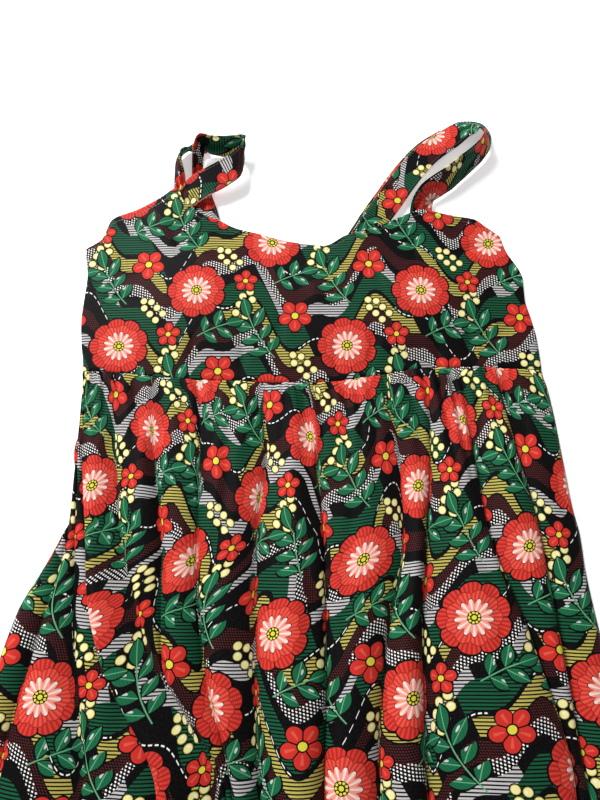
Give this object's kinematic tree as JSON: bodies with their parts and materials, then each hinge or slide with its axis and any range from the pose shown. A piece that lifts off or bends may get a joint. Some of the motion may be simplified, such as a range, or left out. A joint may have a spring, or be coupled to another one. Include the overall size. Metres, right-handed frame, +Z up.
{
  "type": "sleeveless maxi dress laid flat",
  "caption": "Sleeveless empire-waist maxi dress with adjustable shoulder straps and a long gathered skirt, laid flat on its back.",
  "frame": {"origin": "on the surface that the dress lies on, under the middle of its box", "axes": "+X to the right of the laid dress, +Y from the hem towards the shoulder straps, +Z up from the surface"},
  "size_m": [0.6164, 1.2648, 0.0217],
  "materials": {
    "bodice_cloth": "printed woven viscose, soft low sheen",
    "skirt_cloth": "printed woven viscose, soft low sheen",
    "strap_cloth": "printed woven viscose, soft low sheen"
  },
  "bodies": {
    "root": {"bodice_front": "bodice_cloth", "bodice_back": "bodice_cloth", "skirt_front": "skirt_cloth", "skirt_back": "skirt_cloth", "strap_left": "strap_cloth", "strap_left_tail": "strap_cloth", "strap_right": "strap_cloth", "strap_right_tail": "strap_cloth"}
  },
  "joints": []
}
